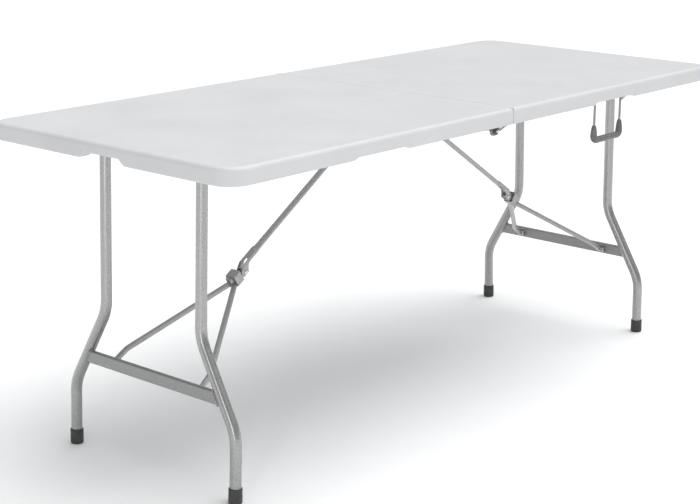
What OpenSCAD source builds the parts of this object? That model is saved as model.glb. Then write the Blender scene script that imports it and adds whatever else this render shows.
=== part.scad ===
// Fold-in-half banquet table: two moulded half tops, steel rails, two folding leg
// frames with lockable knee braces, and a swinging carry handle.
// X runs along the table, Y across it, Z up. The origin is on the floor at the centre.

/* [Table top] */
// Length of the open table
top_l = 1800; // [1700:10:1900]
// Width of the table
top_w = 740; // [720:5:760]
// Height of the table top above the floor
top_h = 740; // [720:5:750]
// Depth of the rim
rim_d = 38; // [37:0.5:39]
// Thickness of the deck inside the rim
deck_t = 15; // [12:0.5:15]
// Thickness of the rim wall along the long sides
rim_w = 28; // [24:1:32]
// Thickness of the rim wall at the short outer end
end_rim_w = 30; // [24:1:34]
// Thickness of the rim wall beside the seam
seam_rim_w = 22; // [18:1:24]
// Radius of the outer corners
corner_r = 50; // [40:5:60]
// Gap between the two half tops
seam_gap = 1; // [0.6:0.1:2]

/* [Notches] */
// Distance from the seam to the middle of the handle notch, in the front rim of the right half
handle_notch_x = 432; // [428:1:436]
// Length of the handle notch at its mouth
handle_notch_l = 184; // [176:1:200]
// Distance from the seam to the middle of the notch in the front rim of the left half
plain_notch_x = 456; // [440:1:470]
// Length of that notch at its mouth
plain_notch_l = 178; // [160:1:190]
// Depth of both notches
side_notch_d = 5; // [4.9:0.1:6]
// Depth of the pocket behind the handle notch, where the clips are screwed on
clip_pocket_d = 8; // [7.8:0.1:8.5]
// Length of the finger notch in each short end at its mouth
end_notch_l = 142; // [120:1:150]
// Depth of the finger notch
end_notch_d = 15; // [12:0.5:18]

/* [Rails and centre hinge] */
// Thickness of the rail steel
rail_t = 2.5; // [2:0.1:3]
// Width of the rail flange under the deck
rail_flange_w = 20; // [16:1:24]
// Height of the hinge axis below the rim
hinge_drop = 21; // [20:0.5:22]
// Diameter of the hinge bolts
hinge_bolt_d = 8; // [7:0.5:9]
// Number of screws in each rail
screws_per_rail = 5; // [3:1:6]

/* [Leg frames] */
// Distance from the seam to the top pivot of each leg frame
leg_x = 760; // [755:1:765]
// Height of the top pivot
pivot_z = 705; // [704:0.5:706]
// Outward lean of the leg frames, in degrees
leg_lean = 1.88; // [1:0.02:2.4]
// Outer diameter of the leg tube
tube_d = 25; // [24:0.5:26]
// Wall of the top pivot tube
tube_wall = 1.5; // [1:0.1:2]
// Half the distance between the legs at the top
leg_top_y = 148; // [145:1:152]
// Half the distance between the feet
leg_foot_y = 253; // [245:1:260]
// Angle of the slanted part of the leg from the vertical
leg_splay = 29.5; // [28:0.5:31]
// Radius of the leg bends
leg_bend_r = 100; // [80:5:110]
// Height at which the upper bend starts
leg_bend_z = 358; // [345:1:365]
// Half the length of the top pivot tube
pivot_half_l = 306; // [300:1:307]
// Diameter of the foot caps
foot_d = 30; // [29:0.5:32]
// Height of the foot caps
foot_h = 34; // [30:1:40]

/* [Crossbar] */
// Height of the crossbar middle
crossbar_z = 217; // [210:0.5:222]
// Height of the crossbar section
crossbar_h = 28; // [24:1:30]
// Thickness of the crossbar section
crossbar_t = 12; // [10:0.5:12]
// Offset of the crossbar towards the outer side of the legs
crossbar_out = 5; // [4.5:0.1:6]

/* [Folding brace] */
// Distance from the seam to the upper brace pivot
strut_x = 36; // [35:1:38]
// Height of the upper brace pivot
strut_z = 694; // [693:0.5:694]
// Diameter of the cross tube that carries the brace
brace_bar_d = 16; // [15:0.5:16]
// Width of the upper strut
strut_w = 16; // [12:1:16]
// Depth of the upper strut
strut_depth = 10; // [8:0.5:10]
// Length of the channel at the lower end of the strut
channel_l = 62; // [56:1:70]
// Diameter of the arms
arm_d = 12; // [10:0.5:12]
// Half the distance between the arm ends
arm_y = 135; // [132:1:138]
// Length of the lock ring
ring_l = 22; // [18:1:22]

/* [Carry handle] */
// Distance from the seam to the middle of the handle
handle_x = 416; // [414:1:418]
// Half the distance between the handle wires
handle_half_w = 57; // [56:1:58]
// Distance from the handle pivot down to the grip
handle_drop = 92; // [88:1:100]
// Diameter of the handle wire
wire_d = 6; // [5:0.5:6]
// Length of the grip
grip_l = 136; // [134:1:138]

/* [Hidden] */
$fn = 64;
SHARED = ["hinge_bolts", "hinge_nuts", "hinge_washers", "handle_bail", "handle_grip",
          "handle_brackets", "handle_screws"];
PER_SIDE = ["top_panel", "rail_front", "rail_back", "rail_screws", "brace_bar", "bar_clips",
            "pivot_saddles", "strut", "knee_rivet", "lock_ring", "brace_fork", "arm_front",
            "arm_back", "arm_rivets", "arm_brackets", "crossbar", "leg_front", "leg_back",
            "pivot_tube", "pivot_plugs", "foot_front", "foot_back"];
LEFT = -1;
RIGHT = 1;
FRONT = -1;
BACK = 1;
STEEL = "darkgray";
TOP_WHITE = "whitesmoke";
CAP_GREY = "dimgray";
ZINC = "gainsboro";

half_l = top_l / 2;
half_w = top_w / 2;
rim_z = top_h - rim_d;
deck_z = top_h - deck_t;
hinge_z = rim_z - hinge_drop;
run_gap = 0.05;

// rails: the left pair of webs sits inside the right pair, so the hinge ears overlap
rail_x0 = 24;
rail_x1 = 862;
web_z = rim_z + 2;
web_y_inner = 313;
web_y_outer = 316;
ear_x = 50;
ear_r = 12;
ear_lap = 8;
ear_z = hinge_z + 3;
stop_hole_x = 27;
stop_hole_up = 4;
stop_hole_r = 3.5;
slot_y0 = 303;
slot_y1 = 332;
saddle_half = 22;
saddle_w = 22.7;
saddle_lip = 6;

// brace geometry, in the plane y = 0
arm_dx = -10.5;
arm_dz = -489;
arm_pivot_x = leg_x + arm_dx * cos(leg_lean) - arm_dz * sin(leg_lean);
arm_pivot_z = pivot_z + arm_dx * sin(leg_lean) + arm_dz * cos(leg_lean);
brace_dx = arm_pivot_x - strut_x;
brace_dz = strut_z - arm_pivot_z;
brace_angle = atan2(brace_dz, brace_dx);
brace_l = norm([brace_dx, brace_dz]);
folded_x = leg_x + arm_dz;
folded_z = pivot_z - arm_dx;
folded_span = norm([folded_x - strut_x, folded_z - strut_z]);
fold_slack = 1.1;
knee_t = (brace_l + folded_span - fold_slack) / 2;

// brace sections: each knee part is placed by its distance along the brace from the knee
strut_w0 = 9.5;
strut_w1 = strut_w0 + strut_depth;
channel_low = 11;
cheek_y0 = 7;
cheek_y1 = 9;
sheet = 2;
knee_r = 3;
ear_end = 13;
ear_low = 6;
fork_start = 15;
fork_end = 46;
arm_start = 42;
arm_start_y = 8;
arm_bend_t = brace_l - 40;
arm_bend_y = arm_y - 4;
arm_eye_half = 6.5;
join_relief = 0.05;
lug_gap = 7.2;
lug_r = 6.5;
ring_start = 15.5;
ring_wall = 1.8;
ring_in_y = 12.2;
ring_in_low = -6.4;
ring_in_high = strut_w1 + 0.8;

// leg path, in the plane of the leg frame
tube_r = tube_d / 2;
bend_out = leg_bend_r * (1 - cos(leg_splay));
bend_down = leg_bend_r * sin(leg_splay);
slant_l = (leg_foot_y - leg_top_y - 2 * bend_out) / sin(leg_splay);
slant_down = slant_l * cos(leg_splay);
lower_bend_z = leg_bend_z - 2 * bend_down - slant_down;
arc_lap = 0.8;
arc_relief = 0.06;
foot_wall = 5;

// handle
handle_y = -half_w + 14;
handle_z = rim_z + 1.5;
wire_r = wire_d / 2;
handle_bend_r = 8;
notch_top = rim_z + clip_pocket_d;
notch_lip = 5;
pocket_half = 92;

// ---- helpers ----

module on_side(side) {
    if (side == LEFT) mirror([1, 0, 0]) children();
    else children();
}

module on_face(face) {
    if (face == FRONT) mirror([0, 1, 0]) children();
    else children();
}

module both_faces() {
    children();
    mirror([0, 1, 0]) children();
}

// a cylinder along Y from y0 to y1 at (x, z)
module rod_y(x, z, y0, y1, r) {
    translate([x, y1, z]) rotate([90, 0, 0]) cylinder(r = r, h = y1 - y0);
}

// a cylinder along X from x0 to x1 at (y, z)
module rod_x(x0, x1, y, z, r) {
    translate([x0, y, z]) rotate([0, 90, 0]) cylinder(r = r, h = x1 - x0);
}

// a round rod from point a to point b
module rod(a, b, r) {
    d = b - a;
    translate(a) rotate([0, acos(d[2] / norm(d)), atan2(d[1], d[0])]) cylinder(r = r, h = norm(d));
}

// puts a child in the brace's own frame: x down the brace, z square to it, at distance t
module along_brace(t) {
    translate([strut_x, 0, strut_z]) rotate([0, brace_angle, 0]) translate([t, 0, 0]) children();
}

// leans the leg frame outwards about its top pivot
module leaning() {
    translate([leg_x, 0, pivot_z]) rotate([0, -leg_lean, 0]) translate([-leg_x, 0, -pivot_z]) children();
}

function web_y(side) = side == LEFT ? web_y_inner : web_y_outer;

// how far from the hinge the slanted lower edge of the ear runs: the outer ear is the longer
function ear_knee(side) = side == LEFT ? 16 : 40;

// ---- half tops ----

module half_outline() {
    difference() {
        translate([seam_gap / 2, -half_w]) square([half_l - seam_gap / 2, top_w]);
        for (s = [-1, 1]) translate([half_l - corner_r, s * (half_w - corner_r)]) difference() {
            translate([0, s > 0 ? 0 : -corner_r]) square([corner_r, corner_r]);
            circle(r = corner_r);
        }
    }
}

module side_notch(side) {
    mid = side == RIGHT ? handle_notch_x : plain_notch_x;
    half = (side == RIGHT ? handle_notch_l : plain_notch_l) / 2;
    x0 = mid - half;
    x1 = mid + half;
    translate([0, -half_w + rim_w + 1, rim_z]) rotate([90, 0, 0]) linear_extrude(rim_w + 2)
        polygon([[x0, -1], [x0 + 10, side_notch_d], [x1 - 10, side_notch_d], [x1, -1]]);
}

// the handle's clips sit in a pocket behind the front lip of their notch
module clip_pocket() {
    translate([handle_x - pocket_half, -half_w + notch_lip, rim_z - 1])
        cube([2 * pocket_half, rim_w - notch_lip + 1, clip_pocket_d + 1]);
}

module end_notch() {
    h = end_notch_l / 2;
    translate([half_l - end_rim_w - 1, 0, rim_z]) rotate([90, 0, 90]) linear_extrude(end_rim_w + 2)
        polygon([[-h, -1], [-h + 20, end_notch_d], [h - 20, end_notch_d], [h, -1]]);
}

function screw_x(i) = rail_x0 + 90 + i * (rail_x1 - rail_x0 - 160) / (screws_per_rail - 1);
function screw_y(side) = web_y(side) + rail_flange_w / 2 + rail_t / 2;

module at_screws(side) {
    for (i = [0:screws_per_rail - 1]) for (s = [-1, 1])
        translate([screw_x(i), s * screw_y(side), 0]) children();
}

module at_handle_screws() {
    for (s = [-1, 1]) translate([handle_x + s * (handle_half_w + 21), handle_y, 0]) children();
}

module top_panel(side) {
    color(TOP_WHITE) on_side(side) difference() {
        translate([0, 0, rim_z]) linear_extrude(rim_d) half_outline();
        translate([seam_rim_w, -half_w + rim_w, rim_z - 1])
            cube([half_l - end_rim_w - seam_rim_w, top_w - 2 * rim_w, deck_z - rim_z + 1]);
        both_faces() translate([-1, slot_y0, rim_z - 1])
            cube([seam_rim_w + 2, slot_y1 - slot_y0, deck_z - rim_z + 1]);
        side_notch(side);
        if (side == RIGHT) clip_pocket();
        end_notch();
        at_screws(side) translate([0, 0, deck_z - 1]) cylinder(r = 2.1, h = 9);
        if (side == RIGHT) at_handle_screws() translate([0, 0, notch_top - 1]) cylinder(r = 1.9, h = 11);
    }
}

// ---- rails and centre hinge ----

module rail(side, face) {
    y = web_y(side);
    color(STEEL) on_side(side) on_face(face) difference() {
        union() {
            translate([rail_x0, y, web_z]) cube([rail_x1 - rail_x0, rail_t, deck_z - web_z]);
            translate([rail_x0, y, deck_z - rail_t]) cube([rail_x1 - rail_x0, rail_flange_w, rail_t]);
            translate([0, y + rail_t, 0]) rotate([90, 0, 0]) linear_extrude(rail_t)
                polygon([[0, hinge_z - ear_r], [ear_knee(side), ear_z], [ear_x, ear_z + 2],
                         [ear_x, web_z + ear_lap], [0, web_z + ear_lap]]);
            rod_y(0, hinge_z, y, y + rail_t, ear_r);
        }
        rod_y(0, hinge_z, y - 1, y + rail_t + 1, hinge_bolt_d / 2 + run_gap);
        if (side == RIGHT) rod_y(stop_hole_x, hinge_z + stop_hole_up, y - 1, y + rail_t + 1, stop_hole_r);
        at_screws(side) translate([0, 0, deck_z - rail_t - 1]) cylinder(r = 2.1, h = rail_t + 2);
    }
}

module rail_screws(side) {
    color(ZINC) on_side(side) at_screws(side) {
        translate([0, 0, deck_z - rail_t - 2.2]) cylinder(r = 4.5, h = 2.2);
        translate([0, 0, deck_z - rail_t - 1]) cylinder(r = 2, h = rail_t + 8);
    }
}

module hinge_bolts() {
    color(ZINC) both_faces() {
        rod_y(0, hinge_z, 308, slot_y1 - 1.5, hinge_bolt_d / 2);
        translate([0, web_y_inner - 0.3, hinge_z]) rotate([90, 0, 0]) cylinder(r = 7.5, h = 5.2, $fn = 6);
    }
}

module hinge_washers() {
    color(ZINC) both_faces() difference() {
        rod_y(0, hinge_z, web_y_outer + rail_t, web_y_outer + rail_t + 1.6, 9.5);
        rod_y(0, hinge_z, 300, 340, hinge_bolt_d / 2);
    }
}

module hinge_nuts() {
    y0 = web_y_outer + rail_t + 1.6;
    color(CAP_GREY) both_faces() difference() {
        translate([0, y0 + 7, hinge_z]) rotate([90, 0, 0]) cylinder(r = 9.2, h = 7, $fn = 6);
        rod_y(0, hinge_z, 300, 340, hinge_bolt_d / 2);
    }
}

module brace_bar(side) {
    y = web_y(side);
    color(STEEL) on_side(side) rod_y(strut_x, strut_z, -y, y, brace_bar_d / 2);
}

module bar_clips(side) {
    color(ZINC) on_side(side) both_faces() difference() {
        rod_y(strut_x, strut_z, 13.6, 15.6, brace_bar_d / 2 + 2.5);
        rod_y(strut_x, strut_z, 10, 20, brace_bar_d / 2);
    }
}

// open saddles against the rails: the tube bears on the roof and on the inner wall, and can
// drop out downwards and outwards
module pivot_saddles(side) {
    reach = tube_r + 0.4;
    y0 = web_y(side) - saddle_w;
    color(STEEL) on_side(side) both_faces() {
        translate([leg_x - saddle_half, y0, pivot_z - saddle_lip])
            cube([saddle_half - reach, saddle_w, deck_z - pivot_z + saddle_lip]);
        translate([leg_x - saddle_half, y0, pivot_z + reach])
            cube([2 * saddle_half, saddle_w, deck_z - pivot_z - reach]);
    }
}

// ---- folding brace ----

module strut(side) {
    w_mid = (strut_w0 + strut_w1) / 2;
    color(STEEL) on_side(side) difference() {
        union() {
            along_brace(0) rod_y(0, 0, -13, 13, brace_bar_d / 2 + 3);
            along_brace(-6) translate([0, -strut_w / 2, strut_w0 - 1])
                cube([30, strut_w, strut_depth + 1]);
            along_brace(10) translate([0, 0, w_mid]) intersection() {
                rod_x(0, knee_t - channel_l, 0, 0, strut_w / 2);
                translate([0, -strut_w / 2, -strut_depth / 2])
                    cube([knee_t - channel_l, strut_w, strut_depth]);
            }
            along_brace(knee_t) {
                translate([-channel_l, -cheek_y1, strut_w1 - sheet])
                    cube([channel_l - 20, 2 * cheek_y1, sheet]);
                both_faces() translate([-channel_l, cheek_y0, channel_low])
                    cube([channel_l + ear_end, sheet, strut_w1 - channel_low]);
                both_faces() translate([-ear_end, cheek_y0, 0]) cube([2 * ear_end, sheet, strut_w1]);
                both_faces() intersection() {
                    rod_y(0, 0, cheek_y0, cheek_y1, ear_end);
                    translate([-ear_end, 0, -ear_low]) cube([2 * ear_end, 20, ear_low + 1]);
                }
            }
        }
        along_brace(0) rod_y(0, 0, -20, 20, brace_bar_d / 2 + run_gap);
        along_brace(knee_t) rod_y(0, 0, -20, 20, knee_r);
    }
}

module knee_rivet(side) {
    color(ZINC) on_side(side) along_brace(knee_t) {
        rod_y(0, 0, -cheek_y1 - 1, cheek_y1 + 1, knee_r);
        both_faces() rod_y(0, 0, cheek_y1, cheek_y1 + sheet, 5.5);
    }
}

module lock_ring(side) {
    color(STEEL) on_side(side) along_brace(knee_t + ring_start) difference() {
        translate([0, -ring_in_y - ring_wall, ring_in_low - ring_wall])
            cube([ring_l, 2 * (ring_in_y + ring_wall), ring_in_high - ring_in_low + 2 * ring_wall]);
        translate([-1, -ring_in_y, ring_in_low])
            cube([ring_l + 2, 2 * ring_in_y, ring_in_high - ring_in_low]);
    }
}

module brace_fork(side) {
    tongue_y = cheek_y0 - 0.3;
    color(STEEL) on_side(side) along_brace(knee_t) difference() {
        union() {
            rod_y(0, 0, -tongue_y, tongue_y, ear_low);
            translate([0, -tongue_y, -ear_low]) cube([fork_start + 1, 2 * tongue_y, 2 * ear_low]);
            translate([fork_start, -cheek_y1, -ear_low])
                cube([fork_end - fork_start, 2 * cheek_y1, strut_w1 + ear_low - 0.5]);
        }
        rod_y(0, 0, -20, 20, knee_r + run_gap);
        translate([fork_start + 6, -cheek_y0, 2]) cube([60, 2 * cheek_y0, strut_w1 - 4.5]);
    }
}

module arm(side, face) {
    bend = [arm_bend_t, arm_bend_y, 0];
    start = [knee_t + arm_start, arm_start_y, 0];
    tip = [brace_l, arm_y, 0];
    color(STEEL) on_side(side) on_face(face) along_brace(0) difference() {
        union() {
            rod(start, bend, arm_d / 2);
            translate(bend) sphere(r = arm_d / 2 + join_relief);
            rod(bend, tip, arm_d / 2 - 2 * join_relief);
            rod_y(brace_l, 0, arm_y - arm_eye_half, arm_y + arm_eye_half, arm_d / 2 + 4 * join_relief);
        }
        rod_y(brace_l, 0, arm_y - 20, arm_y + 20, knee_r + run_gap);
    }
}

module arm_rivets(side) {
    color(ZINC) on_side(side) both_faces() along_brace(brace_l) {
        rod_y(0, 0, arm_y - lug_gap - sheet, arm_y + lug_gap + sheet, knee_r);
        for (s = [-1, 1]) translate([0, arm_y + s * (lug_gap + sheet + 0.9), 0]) rod_y(0, 0, -0.9, 0.9, 5);
    }
}

// two lugs beside each arm end, welded to the inner face of the crossbar
module arm_brackets(side) {
    x = leg_x + arm_dx;
    z = pivot_z + arm_dz;
    x1 = leg_x + crossbar_out - crossbar_t / 2;
    color(STEEL) on_side(side) leaning() both_faces() difference() {
        for (y0 = [arm_y - lug_gap - sheet, arm_y + lug_gap]) union() {
            rod_y(x, z, y0, y0 + sheet, lug_r);
            translate([x, y0, z - lug_r]) cube([x1 - x, sheet, 2 * lug_r]);
        }
        rod_y(x, z, 100, 160, knee_r);
    }
}

// ---- leg frame ----

// an arc of rod in the leg frame's plane, bending outwards as it goes down; it runs a
// little way into the straight rods at both ends and is a touch thinner than they are
module leg_arc() {
    multmatrix([[0, 0, 1, 0], [-1, 0, 0, 0], [0, -1, 0, 0], [0, 0, 0, 1]])
        rotate([0, 0, -arc_lap]) rotate_extrude(angle = leg_splay + 2 * arc_lap)
            translate([leg_bend_r, 0]) circle(r = tube_r - arc_relief);
}

module leg_run() {
    translate([leg_x, leg_top_y, leg_bend_z]) cylinder(r = tube_r, h = pivot_z - 6 - leg_bend_z);
    translate([leg_x, leg_top_y + leg_bend_r, leg_bend_z]) leg_arc();
    translate([leg_x, leg_top_y + bend_out, leg_bend_z - bend_down]) rotate([leg_splay, 0, 0])
        translate([0, 0, -slant_l]) cylinder(r = tube_r, h = slant_l);
    translate([leg_x, leg_foot_y - leg_bend_r, lower_bend_z]) rotate([180, 0, 0]) leg_arc();
    translate([leg_x, leg_foot_y, foot_wall]) cylinder(r = tube_r, h = lower_bend_z - foot_wall);
}

module leg(side, face) {
    color(STEEL) on_side(side) on_face(face) leaning() leg_run();
}

module pivot_tube(side) {
    color(STEEL) on_side(side) difference() {
        rod_y(leg_x, pivot_z, -pivot_half_l, pivot_half_l, tube_r);
        rod_y(leg_x, pivot_z, -pivot_half_l - 1, pivot_half_l + 1, tube_r - tube_wall);
    }
}

module pivot_plugs(side) {
    color(CAP_GREY) on_side(side) both_faces() {
        rod_y(leg_x, pivot_z, pivot_half_l - 18, pivot_half_l, tube_r - tube_wall);
        rod_y(leg_x, pivot_z, pivot_half_l, pivot_half_l + 3, tube_r);
    }
}

module crossbar(side) {
    color(STEEL) on_side(side) leaning() difference() {
        translate([leg_x + crossbar_out - crossbar_t / 2, -leg_foot_y, crossbar_z - crossbar_h / 2])
            cube([crossbar_t, 2 * leg_foot_y, crossbar_h]);
        both_faces() translate([leg_x, leg_top_y + bend_out, leg_bend_z - bend_down])
            rotate([leg_splay, 0, 0]) {
                translate([-20, 0, -2 * slant_l]) cube([40, 200, 4 * slant_l]);
                translate([0, 0, -2 * slant_l]) cylinder(r = tube_r, h = 4 * slant_l);
            }
    }
}

// a cup around the end of the tube, cut flat where it meets the floor
module foot(side, face) {
    color(CAP_GREY) on_side(side) on_face(face) difference() {
        leaning() translate([leg_x, leg_foot_y, -2]) difference() {
            cylinder(r = foot_d / 2, h = foot_h + 2);
            translate([0, 0, foot_wall + 2]) cylinder(r = tube_r, h = foot_h);
        }
        translate([leg_x - 50, leg_foot_y - 50, -20]) cube([200, 100, 20]);
    }
}

// ---- carry handle ----

module half_wire() {
    x = handle_half_w;
    low = handle_z - handle_drop;
    rod_x(x, x + 15, 0, handle_z, wire_r);
    translate([x, 0, handle_z]) sphere(r = wire_r);
    translate([x, 0, low + handle_bend_r]) cylinder(r = wire_r, h = handle_drop - handle_bend_r);
    translate([x - handle_bend_r, 0, low + handle_bend_r]) rotate([90, 90, 0])
        rotate_extrude(angle = 90) translate([handle_bend_r, 0]) circle(r = wire_r);
    rod_x(0, x - handle_bend_r, 0, low, wire_r);
}

module wire_loop() {
    translate([handle_x, handle_y, 0]) {
        half_wire();
        mirror([1, 0, 0]) half_wire();
    }
}

module handle_bail() {
    color(STEEL) wire_loop();
}

// moulded over the lower run of the wire, with a sleeve up each side
module handle_grip() {
    low = handle_z - handle_drop;
    end_r = 10.6;
    sleeve_r = 8.4;
    sleeve_h = 34;
    palm_r = 9;
    corner = grip_l / 2 - end_r;
    color(CAP_GREY) translate([handle_x, handle_y, 0]) {
        rod_x(-corner, corner, 0, low, palm_r);
        for (s = [-1, 1]) {
            translate([s * corner, 0, low]) sphere(r = end_r);
            translate([s * corner, 0, low]) cylinder(r = sleeve_r, h = sleeve_h);
        }
    }
}

module handle_brackets() {
    color(TOP_WHITE) difference() {
        for (s = [-1, 1]) translate([handle_x + s * (handle_half_w + 16.5), handle_y, 0]) union() {
            translate([s > 0 ? -12 : -14.5, -9, notch_top - 2.5]) cube([26.5, 18, 2.5]);
            translate([s * -9 - 3.5, -6, handle_z - 6]) cube([7, 12, notch_top - handle_z + 6]);
        }
        translate([0, handle_y, handle_z]) rotate([0, 90, 0]) cylinder(r = wire_r + run_gap, h = half_l);
        at_handle_screws() translate([0, 0, notch_top - 5]) cylinder(r = 1.9, h = 10);
    }
}

module handle_screws() {
    color(ZINC) at_handle_screws() {
        translate([0, 0, notch_top - 4.5]) cylinder(r = 3.8, h = 2);
        translate([0, 0, notch_top - 3.5]) cylinder(r = 1.8, h = 12);
    }
}

// ---- nodes ----

hinge_bolts();
hinge_nuts();
hinge_washers();
handle_bail();
handle_grip();
handle_brackets();
handle_screws();
for (side = [LEFT, RIGHT]) {
    tag = side == LEFT ? "_left" : "_right";
    top_panel(side);
    rail(side, FRONT);
    rail(side, BACK);
    rail_screws(side);
    brace_bar(side);
    bar_clips(side);
    pivot_saddles(side);
    strut(side);
    knee_rivet(side);
    lock_ring(side);
    brace_fork(side);
    arm(side, FRONT);
    arm(side, BACK);
    arm_rivets(side);
    arm_brackets(side);
    crossbar(side);
    leg(side, FRONT);
    leg(side, BACK);
    pivot_tube(side);
    pivot_plugs(side);
    foot(side, FRONT);
    foot(side, BACK);
}
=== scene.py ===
import bpy
import math
from mathutils import Matrix, Vector


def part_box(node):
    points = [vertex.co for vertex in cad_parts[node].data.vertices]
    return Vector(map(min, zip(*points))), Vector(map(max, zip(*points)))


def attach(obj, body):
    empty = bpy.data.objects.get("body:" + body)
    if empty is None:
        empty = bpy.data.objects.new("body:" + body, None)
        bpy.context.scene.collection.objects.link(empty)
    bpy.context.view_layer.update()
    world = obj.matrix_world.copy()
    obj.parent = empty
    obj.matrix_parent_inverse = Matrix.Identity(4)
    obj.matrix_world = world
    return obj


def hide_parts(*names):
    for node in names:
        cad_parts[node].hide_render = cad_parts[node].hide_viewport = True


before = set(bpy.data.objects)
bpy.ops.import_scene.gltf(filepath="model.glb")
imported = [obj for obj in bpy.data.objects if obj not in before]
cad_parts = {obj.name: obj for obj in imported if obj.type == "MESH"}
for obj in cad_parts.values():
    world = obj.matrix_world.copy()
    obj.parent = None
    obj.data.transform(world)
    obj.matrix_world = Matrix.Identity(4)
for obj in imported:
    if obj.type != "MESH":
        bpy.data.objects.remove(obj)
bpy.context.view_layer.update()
MM = 0.001

# ---- camera
scene = bpy.context.scene
camera_data = bpy.data.cameras.new("camera")
camera = bpy.data.objects.new("camera", camera_data)
scene.collection.objects.link(camera)
scene.camera = camera
YAW, PITCH, ROLL = 0.8546634, 0.2635191, 0.0060606
forward = Vector((math.sin(YAW) * math.cos(PITCH), math.cos(YAW) * math.cos(PITCH), -math.sin(PITCH)))
right = Vector((math.cos(YAW), -math.sin(YAW), 0))
up = right.cross(forward)
cam_x = right * math.cos(ROLL) + up * math.sin(ROLL)
cam_y = up * math.cos(ROLL) - right * math.sin(ROLL)
rotation = Matrix((cam_x, cam_y, -forward)).transposed().to_4x4()
camera.matrix_world = Matrix.Translation(Vector((-2.9844176, -2.4792788, 1.3820575))) @ rotation
camera_data.sensor_width = 36
camera_data.lens = 83.79
camera_data.clip_end = 60


# ---- sizes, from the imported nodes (millimetres)
def lohi(node):
    lo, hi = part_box(node)
    return lo / MM, hi / MM


def mid(node):
    lo, hi = lohi(node)
    return (lo + hi) / 2


P = mid("pivot_tube_right")
Q = mid("brace_bar_right")
K = mid("knee_rivet_right")
C = mid("arm_rivets_right")
FOOT = mid("foot_front_right")
LEG_LO, LEG_HI = lohi("leg_front_right")
TOP_LO, TOP_HI = lohi("top_panel_right")
TUBE_R = 12.5
LEAN = math.atan2(FOOT.x - P.x, P.z - FOOT.z)
LEG_TOP_Y = -LEG_HI.y + TUBE_R
LEG_FOOT_Y = -LEG_LO.y - TUBE_R
SPLAY = math.radians(29.5)
BEND_R = 100
BEND_Z = 358
RIM_Z, TOP_Z = TOP_LO.z, TOP_HI.z
HALF_L, HALF_W = TOP_HI.x, TOP_HI.y
BRACE = (C - Q).length
KNEE_T = (K - Q).length
BRACE_ANGLE = math.atan2(Q.z - C.z, C.x - Q.x)
BAIL_LO, BAIL_HI = lohi("handle_bail")
HX = (BAIL_LO.x + BAIL_HI.x) / 2


# ---- materials
def new_material(name):
    m = bpy.data.materials.new(name)
    m.use_nodes = True
    nt = m.node_tree
    bsdf = nt.nodes["Principled BSDF"]
    coords = nt.nodes.new("ShaderNodeTexCoord")
    return m, nt, bsdf, coords.outputs["Object"]


def noise_node(nt, vector, scale, detail=2.0, rough=0.5, stretch=None):
    if stretch:
        mp = nt.nodes.new("ShaderNodeMapping")
        mp.inputs["Scale"].default_value = stretch
        nt.links.new(vector, mp.inputs["Vector"])
        vector = mp.outputs["Vector"]
    n = nt.nodes.new("ShaderNodeTexNoise")
    n.inputs["Scale"].default_value = scale
    n.inputs["Detail"].default_value = detail
    n.inputs["Roughness"].default_value = rough
    nt.links.new(vector, n.inputs["Vector"])
    return n.outputs["Fac"]


def voronoi_node(nt, vector, scale, feature="F1", output="Distance"):
    n = nt.nodes.new("ShaderNodeTexVoronoi")
    n.feature = feature
    n.inputs["Scale"].default_value = scale
    nt.links.new(vector, n.inputs["Vector"])
    return n.outputs[output]


def ramp(nt, fac, stops):
    r = nt.nodes.new("ShaderNodeValToRGB")
    r.color_ramp.elements[0].position = stops[0][0]
    r.color_ramp.elements[0].color = (*stops[0][1], 1)
    r.color_ramp.elements[1].position = stops[-1][0]
    r.color_ramp.elements[1].color = (*stops[-1][1], 1)
    for pos, col in stops[1:-1]:
        e = r.color_ramp.elements.new(pos)
        e.color = (*col, 1)
    nt.links.new(fac, r.inputs["Fac"])
    return r.outputs["Color"]


def remap(nt, fac, lo, hi):
    m = nt.nodes.new("ShaderNodeMapRange")
    m.inputs["From Min"].default_value = 0.3
    m.inputs["From Max"].default_value = 0.7
    m.inputs["To Min"].default_value = lo
    m.inputs["To Max"].default_value = hi
    nt.links.new(fac, m.inputs["Value"])
    return m.outputs["Result"]


def add_bump(nt, bsdf, *layers):
    normal = None
    for height, distance, strength in layers:
        b = nt.nodes.new("ShaderNodeBump")
        b.inputs["Distance"].default_value = distance
        b.inputs["Strength"].default_value = strength
        nt.links.new(height, b.inputs["Height"])
        if normal is not None:
            nt.links.new(normal, b.inputs["Normal"])
        normal = b.outputs["Normal"]
    nt.links.new(normal, bsdf.inputs["Normal"])


def grey(v, tint=(1.0, 1.0, 1.0)):
    return tuple(v * t for t in tint)


COOL = (0.985, 0.995, 1.015)


def mat_top():
    m, nt, bsdf, at = new_material("moulded_top")
    mottle = noise_node(nt, at, 5.5, 4, 0.55)
    nt.links.new(ramp(nt, mottle, [(0.3, grey(0.60, COOL)), (0.7, grey(0.64, COOL))]),
        bsdf.inputs["Base Color"])
    nt.links.new(remap(nt, noise_node(nt, at, 60, 3), 0.40, 0.52), bsdf.inputs["Roughness"])
    bsdf.inputs["Specular IOR Level"].default_value = 0.42
    grain = noise_node(nt, at, 620, 2, 0.6)
    pebble = voronoi_node(nt, at, 420, "SMOOTH_F1")
    waves = noise_node(nt, at, 9, 2, 0.45)
    add_bump(nt, bsdf, (waves, 0.0022, 0.30), (pebble, 0.0003, 0.35), (grain, 0.0002, 0.35))
    return m


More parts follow.
